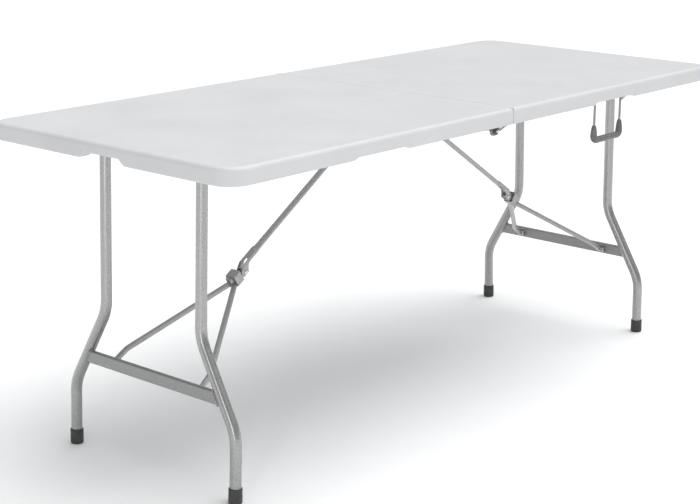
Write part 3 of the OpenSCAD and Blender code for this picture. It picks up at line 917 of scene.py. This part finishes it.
def arm_part():
    """One arm: an oval tube, pressed flat where it is riveted to its lugs."""
    start = brace_point(KNEE_T + 42, 8.0, 0)
    bend = brace_point(BRACE - 40, 131, 0)
    tip = brace_point(BRACE, 135, 0)
    path = densify(rounded_path([start, bend, tip + BT * 4.0], [26], 10), 9)
    scales = []
    for p in path:
        d = (p - tip).length
        flat = max(0.0, min(1.0, (18 - d) / 10))
        scales.append((1 - 0.42 * flat, 1 + 0.06 * flat))
    tube = sweep(path, circle(5.9, 36, 5.95, 2.5), (0, 1, 0), scales, 1.2)
    eye = lathe([(3.2, -6.4), (4.4, -6.4), (4.4, 6.4), (3.2, 6.4)], tip, (0, 1, 0), 32)
    return merged(tube, eye)


def lug_part():
    """Pairs of pressed lugs on the crossbar's inner face."""
    parts = []
    cl, sl = math.cos(LEAN), math.sin(LEAN)
    u = Vector((-cl, 0, -sl))
    v = Vector((-sl, 0, cl))
    for s in (-1, 1):
        y = 135 + s * 8.2
        outline = slot_outline(0.0, 6.4, 12)
        reach = 9.4
        shape = [(-reach, -7.6), (-4.0, -6.6)] + [(x, z) for x, z in outline[:13]] + [(-4.0, 6.6),
            (-reach, 7.6)]
        parts.append(plate(shape, 1.9, 0.45, Vector((C.x, y, C.z)), u, v))
    # the foot plate joining each pair, against the bar
    foot = Vector((C.x, 135, C.z)) - u * 8.7
    parts.append(edge_softened(18.4, 14.6, 1.4, 1.5, foot, BY, v))
    return both_y(merged(*parts))


def arm_rivet_part():
    parts = []
    for s in (-1, 1):
        parts.append(dome(Vector((C.x, 135 + s * 9.15, C.z)), (0, s, 0), 4.9, 1.8, 32, 0.4))
    shank = lathe([(2.9, -9.4), (2.9, 9.4)], Vector((C.x, 135, C.z)), (0, 1, 0), 20)
    return both_y(merged(shank, *parts))


def clip_part():
    """Spring clips that keep the brace in the middle of its cross tube."""
    path = [Vector((Q.x, 14.6, Q.z)) + (BT * math.cos(a) + BN * math.sin(a)) * 9.1
        for a in [math.radians(40 + 280 * i / 40) for i in range(41)]]
    wire = sweep(path, circle(1.0, 12), (0, 1, 0), None, 0.4)
    ears = []
    for a in (40, 320):
        r = math.radians(a)
        ears.append(dome(Vector((Q.x, 13.7, Q.z)) + (BT * math.cos(r) + BN * math.sin(r)) * 9.0,
            (0, 1, 0), 1.6, 1.8, 16))
    return both_y(merged(wire, *ears))


def bar_part(half):
    prof = [(6.6, -half + 0.2), (7.7, -half + 0.5), (7.95, -half + 1.4), (7.95, half - 1.4),
        (7.7, half - 0.5), (6.6, half - 0.2)]
    bar = lathe(prof, (Q.x, 0, Q.z), (0, 1, 0), 40)
    ends = []
    path = [Vector((Q.x + 8.3 * math.cos(t), half - 1.6, Q.z + 8.3 * math.sin(t)))
        for t in [2 * math.pi * i / 30 for i in range(31)]]
    ends.append(sweep(path, circle(1.3, 10), (0, 1, 0),
        [0.7 + 0.5 * abs(math.sin(i * 1.7)) for i in range(31)]))
    return merged(bar, both_y(merged(*ends)))


def saddle_part(web):
    """A pressed steel bearing: a roof plate with two lips folded down, and its fixing flanges."""
    parts = []
    roof = TOP_Z - 15.1
    parts.append(edge_softened(43.6, 22.4, 1.9, 2.0, Vector((P.x, web - 11.5, roof - 1.0)),
        (1, 0, 0), (0, 1, 0)))
    for dx, low in ((-20.2, 699.4), (19.6, 714.5)):
        parts.append(edge_softened(22.2, roof - low - 0.6, 1.9, 1.6,
            Vector((P.x + dx, web - 11.5, (roof + low) / 2 - 0.3)), (0, 1, 0), (0, 0, 1)))
    # the curved saddle over the tube
    for y in (web - 21.3, web - 11.5, web - 1.4):
        path = [Vector((P.x + 14.0 * math.cos(a), y, P.z + 14.0 * math.sin(a)))
            for a in [math.radians(50 + 128 * i / 20) for i in range(21)]]
        parts.append(sweep(path, rounded_rect(2.4, 1.7, 0.5, 3), (0, 1, 0), None, 0.3))
    shell = []
    for a in [math.radians(52 + 124 * i / 18) for i in range(19)]:
        shell.append(a)
    loops = []
    for a in shell:
        d = Vector((math.cos(a), 0, math.sin(a)))
        base = Vector((P.x, 0, P.z))
        loops.append([base + d * 13.2 + Vector((0, web - 22.4, 0)),
            base + d * 13.2 + Vector((0, web - 0.8, 0)),
            base + d * 14.6 + Vector((0, web - 0.8, 0)), base + d * 14.6 + Vector((0, web - 22.4, 0))])
    parts.append(rings(loops))
    return both_y(merged(*parts))


for side, tag in ((-1, "left"), (1, "right")):
    web = lohi("pivot_saddles_" + tag)[1].y
    bar_half = lohi("brace_bar_" + tag)[1].y
    build("strut_bar_" + tag, strut_part(), ARM, tag + "_strut", ["strut_" + tag], side)
    build("knee_rivet_head_" + tag, knee_rivet_part(), ZINC, tag + "_strut",
        ["knee_rivet_" + tag], side)
    build("locking_ring_" + tag, ring_part(), ARM, tag + "_ring",
        ["lock_ring_" + tag], side, 30)
    build("brace_yoke_" + tag, fork_part(), ARM, tag + "_arms", ["brace_fork_" + tag],
        side)
    build("brace_arm_front_" + tag, mirror_y(arm_part()), ARM, tag + "_arms",
        ["arm_front_" + tag], side)
    build("brace_arm_back_" + tag, arm_part(), ARM, tag + "_arms",
        ["arm_back_" + tag], side)
    build("arm_lugs_" + tag, lug_part(), BAR, tag + "_leg", ["arm_brackets_" + tag], side)
    build("arm_rivet_heads_" + tag, arm_rivet_part(), ZINC, tag + "_leg",
        ["arm_rivets_" + tag], side)
    build("spring_clips_" + tag, clip_part(), DULL, tag + "_top", ["bar_clips_" + tag], side)
    build("cross_rod_" + tag, bar_part(bar_half), RAIL, tag + "_top",
        ["brace_bar_" + tag], side)
    build("tube_saddles_" + tag, saddle_part(web), RAIL, tag + "_top",
        ["pivot_saddles_" + tag], side)


# ---- screws, hinge bolts and nuts
def cross_head(origin, axis, r, h, n=32):
    """A pan head with a cross recess."""
    axis = Vector(axis).normalized()
    u = axis.orthogonal().normalized()
    v = axis.cross(u)
    prof = [(0.99, 0.0), (1.0, 0.18), (0.96, 0.5), (0.86, 0.78), (0.7, 0.93), (0.52, 0.99)]
    loops = []
    for k, hh in prof:
        loops.append([
            Vector(origin) + axis * h * hh
            + (u * math.cos(2 * math.pi * i / n) + v * math.sin(2 * math.pi * i / n)) * r * k
            for i in range(n)])

    def star(scale, hh):
        out = []
        for i in range(n):
            t = 2 * math.pi * i / n
            c, s = abs(math.cos(t)), abs(math.sin(t))
            arm = 0.5 if max(c, s) > 0.93 else 0.17
            out.append(Vector(origin) + axis * h * hh + (u * math.cos(t) + v * math.sin(t)) * r * arm * scale)
        return out

    loops.append(star(1.0, 0.98))
    loops.append(star(0.8, 0.45))
    loops.append(star(0.4, 0.35))
    return rings(loops)


def rail_screw_part(tag):
    lo, hi = lohi("rail_screws_" + tag)
    x0, x1 = abs(lo.x), abs(hi.x)
    x0, x1 = min(x0, x1) + 4.5, max(x0, x1) - 4.5
    y = hi.y - 4.5
    parts = []
    for i in range(5):
        x = x0 + (x1 - x0) * i / 4
        for s in (-1, 1):
            parts.append(cross_head((x, s * y, lo.z + 2.2), (0, 0, -1), 4.45, 2.15))
    return merged(*parts)


for side, tag in ((-1, "left"), (1, "right")):
    build("rail_screw_heads_" + tag, rail_screw_part(tag), ZINC, tag + "_top",
        ["rail_screws_" + tag], side)

NUT_LO, NUT_HI = lohi("hinge_nuts")
HINGE_Z = (NUT_LO.z + NUT_HI.z) / 2
WASH_HI = lohi("hinge_washers")[1].y
BOLT_HI = lohi("hinge_bolts")[1].y


def nut_part():
    nut = hex_part((0, WASH_HI, HINGE_Z), (0, 1, 0), 15.9, 5.2, 4.6)
    collar = lathe([(7.0, 5.0), (7.0, 5.9), (6.5, 6.7), (5.6, 6.95), (4.6, 6.9), (4.2, 6.0)],
        (0, WASH_HI, HINGE_Z), (0, 1, 0), 36)
    return both_y(merged(nut, collar))


def bolt_part():
    """Threaded end beyond the nut, and the hexagon head inside the rails."""
    thread = [(3.6, 322.0)]
    y = 322.0
    while y < BOLT_HI - 1.2:
        thread += [(3.45, y), (3.95, y + 0.55)]
        y += 1.1
    thread += [(3.5, BOLT_HI - 0.6), (3.0, BOLT_HI - 0.05)]
    rod = lathe([(3.95, 309.0), (3.95, 321.9)], (0, 0, HINGE_Z), (0, 1, 0), 32)
    end = lathe(thread, (0, 0, HINGE_Z), (0, 1, 0), 32)
    head = hex_part((0, 312.6, HINGE_Z), (0, -1, 0), 12.9, 5.1)
    return both_y(merged(rod, end, head))


build("hinge_lock_nuts", nut_part(), CLIP_MAT, "right_top", ["hinge_nuts"])
build("hinge_bolt_set", bolt_part(), ZINC, "right_top", ["hinge_bolts"])


# ---- carry handle
PIVOT_Z = BAIL_HI.z - 3.0
BAIL_Y = (BAIL_LO.y + BAIL_HI.y) / 2
GRIP_Z = BAIL_LO.z + 3.0
HALF_SPAN = (BAIL_HI.x - BAIL_LO.x) / 2 - 15


def bail_part():
    pts = [
        (HX - HALF_SPAN - 14.8, BAIL_Y, PIVOT_Z), (HX - HALF_SPAN, BAIL_Y, PIVOT_Z),
        (HX - HALF_SPAN, BAIL_Y, GRIP_Z),
        (HX + HALF_SPAN, BAIL_Y, GRIP_Z), (HX + HALF_SPAN, BAIL_Y, PIVOT_Z),
        (HX + HALF_SPAN + 14.8, BAIL_Y, PIVOT_Z),
    ]
    path = densify(rounded_path(pts, [5.5, 9, 9, 5.5], 8), 12)
    return sweep(path, circle(2.97, 24), (0, 1, 0), None, 0.8)


def grip_part():
    """A sleeve over the wire's two lower corners and the palm bar between them, tapering at its ends, with a
    ridge along the bar.
    """
    rise = 37
    pts = [(HX - HALF_SPAN, BAIL_Y, GRIP_Z + rise), (HX - HALF_SPAN, BAIL_Y, GRIP_Z),
        (HX + HALF_SPAN, BAIL_Y, GRIP_Z), (HX + HALF_SPAN, BAIL_Y, GRIP_Z + rise)]
    path = densify(rounded_path(pts, [11, 11], 12), 3.0)
    lengths = [0.0]
    for a, b in zip(path, path[1:]):
        lengths.append(lengths[-1] + (b - a).length)
    total = lengths[-1]
    scales = []
    for s in lengths:
        e = min(s, total - s)
        if e < 30:
            f = e / 30
            r = 4.8 + 3.6 * math.sin(f * math.pi / 2) ** 0.9
        else:
            f = min(1.0, (e - 30) / 34)
            r = 8.4 + 0.1 * (f * f * (3 - 2 * f))
        scales.append(r / 10.0)
    section = []
    for i in range(40):
        t = 2 * math.pi * i / 40
        c, s = math.cos(t), math.sin(t)
        r = 10.0 * (1 + 0.045 * math.cos(2 * t))
        section.append((r * c, r * s))
    body = sweep(path, section, (0, 1, 0), scales, 1.2)
    # the ridge where the two moulded halves of the bar meet, along its outer and inner faces
    ridges = []
    for s in (-1, 1):
        ridge = []
        for p, k, e in zip(path, scales, lengths):
            if 34 < e < total - 34:
                ridge.append(Vector((p.x, BAIL_Y + s * (10.0 * 1.045 * k - 0.35), p.z)))
        ridges.append(sweep(ridge, circle(0.9, 10), (0, 0, 1), None, 0.3))
    return merged(body, *ridges)


BRK_HI = lohi("handle_brackets")[1]


def handle_clip_part():
    """Moulded clips under the rim: a flange with a boss that carries the wire."""
    parts = []
    for s in (-1, 1):
        x = HX + s * (HALF_SPAN + 16.5)
        parts.append(plate(rounded_rect(26.2, 17.8, 4.5, 6), 2.4, 0.7,
            Vector((x + s * 1.25, BAIL_Y, BRK_HI.z - 1.25)), (1, 0, 0), (0, 1, 0)))
        xb = HX + s * (HALF_SPAN + 7.5)
        path = [Vector((xb - 3.4, BAIL_Y, PIVOT_Z)), Vector((xb - 2.4, BAIL_Y, PIVOT_Z)),
            Vector((xb + 2.4, BAIL_Y, PIVOT_Z)), Vector((xb + 3.4, BAIL_Y, PIVOT_Z))]
        parts.append(sweep(path, circle(5.95, 32), (0, 1, 0), [0.93, 1, 1, 0.93]))
        parts.append(plate(rounded_rect(6.6, 11.6, 1.2, 4), 5.0, 0.5,
            Vector((xb, BAIL_Y, PIVOT_Z + 2.4)), (1, 0, 0), (0, 1, 0)))
        for sy in (-1, 1):
            rib = [(0, 0), (14, 0), (13.5, -1.0), (2.0, -5.5), (0, -6.0)]
            rib = rib if s > 0 else [(-a, b) for a, b in reversed(rib)]
            parts.append(plate(list(reversed(rib)), 1.6, 0.3,
                Vector((xb + s * 3.0, BAIL_Y + sy * 5.0, BRK_HI.z - 2.2)), (1, 0, 0), (0, 0, 1)))
    return merged(*parts)


SCR_LO, SCR_HI = lohi("handle_screws")


def handle_screw_part():
    parts = []
    for x in (SCR_LO.x + 3.8, SCR_HI.x - 3.8):
        parts.append(cross_head((x, BAIL_Y, SCR_LO.z + 2.0), (0, 0, -1), 3.75, 1.95))
    return merged(*parts)


build("handle_wire", bail_part(), WIRE, "handle", ["handle_bail"])
build("handle_grip_moulding", grip_part(), GRIP_MAT, "handle", ["handle_grip"])
build("handle_clips", handle_clip_part(), TOP, "right_top", ["handle_brackets"])
build("handle_screw_heads", handle_screw_part(), ZINC, "right_top", ["handle_screws"])

# ---- CAD nodes that stay, with their finishes
for node, material, slot in (
    ("rail_front_left", RAIL, "steel_grey"), ("rail_back_left", RAIL, "steel_grey"),
    ("rail_front_right", RAIL, "steel_grey"), ("rail_back_right", RAIL, "steel_grey"),
    ("hinge_washers", DULL, "zinc"),
):
    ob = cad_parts[node]
    ob.data.materials.clear()
    ob.data.materials.append(material)
    bevel = ob.modifiers.new("edges", "BEVEL")
    bevel.width = 0.0004
    bevel.segments = 2
    bevel.limit_method = "ANGLE"
    bevel.angle_limit = math.radians(35)

# ---- floor and light
floor_mesh = bpy.data.meshes.new("floor")
floor_mesh.from_pydata([(-30, -30, -0.0006), (30, -30, -0.0006), (30, 30, -0.0006),
    (-30, 30, -0.0006)], [], [(0, 1, 2, 3)])
floor = bpy.data.objects.new("floor", floor_mesh)
scene.collection.objects.link(floor)
fm, fnt, fb, fat = new_material("pale_floor")
fnt.links.new(ramp(fnt, noise_node(fnt, fat, 3, 2), [(0.3, grey(0.93)), (0.7, grey(0.95))]),
    fb.inputs["Base Color"])
fb.inputs["Roughness"].default_value = 0.9
fb.inputs["Specular IOR Level"].default_value = 0.0
floor_mesh.materials.append(fm)

world = bpy.data.worlds.new("studio")
scene.world = world
world.use_nodes = True
background = world.node_tree.nodes["Background"]
background.inputs["Color"].default_value = (0.97, 0.985, 1.0, 1)
background.inputs["Strength"].default_value = 0.42


def aimed(ob, location, target):
    ob.location = location
    ob.rotation_mode = "QUATERNION"
    ob.rotation_quaternion = (Vector(target) - Vector(location)).to_track_quat("-Z", "Y")


def sun_light(name, direction, strength, spread):
    """Soft light from a whole region of the sky, so it falls evenly on the floor."""
    data = bpy.data.lights.new(name, "SUN")
    data.energy = strength
    data.angle = math.radians(spread)
    ob = bpy.data.objects.new(name, data)
    scene.collection.objects.link(ob)
    aimed(ob, Vector(direction) * 3, (0, 0, 0))


def strip_light(name, location, target, width, height, power):
    data = bpy.data.lights.new(name, "AREA")
    data.shape = "RECTANGLE"
    data.size = width
    data.size_y = height
    data.energy = power
    ob = bpy.data.objects.new(name, data)
    scene.collection.objects.link(ob)
    aimed(ob, location, target)


sun_light("key", (0.30, -0.20, 0.92), 2.9, 70)
strip_light("strip", (-4.3, -2.2, 1.1), (0, 0, 0.5), 0.3, 2.0, 22)

scene.view_settings.view_transform = "Standard"
